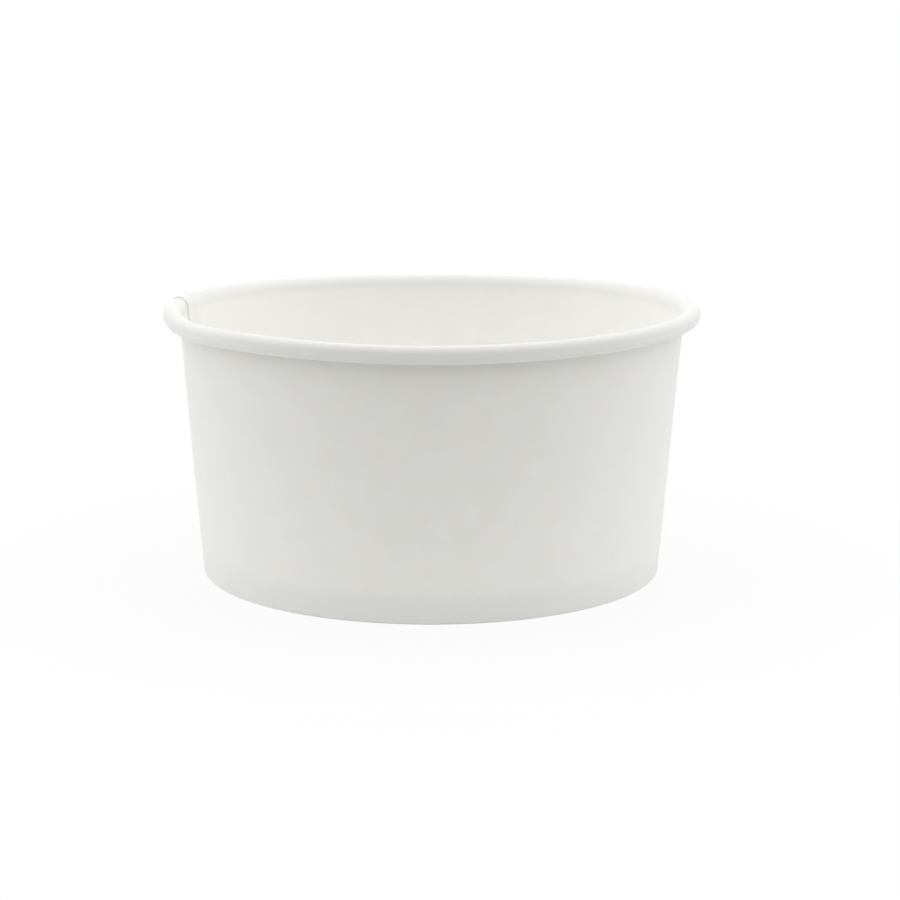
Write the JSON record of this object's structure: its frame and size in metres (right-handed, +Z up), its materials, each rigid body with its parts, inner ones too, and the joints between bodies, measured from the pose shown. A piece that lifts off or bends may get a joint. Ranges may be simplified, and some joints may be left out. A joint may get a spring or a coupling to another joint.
{
  "type": "paper bowl",
  "caption": "Round paper food bowl with a rolled rim, a lap-sealed tapered side wall and a recessed base disc.",
  "frame": {"origin": "on the table, under the middle of the bowl", "axes": "+Z up along the bowl's axis, -Y towards the viewer of the picture, +X to the viewer's right"},
  "size_m": [0.15, 0.15, 0.0749],
  "materials": {
    "wall_board": "matte white outside, with a thin satin food-safe coating inside",
    "base_board": "satin coating on top, matte underneath"
  },
  "bodies": {
    "root": {"side_wall": "wall_board", "base_disc": "base_board"}
  },
  "joints": []
}
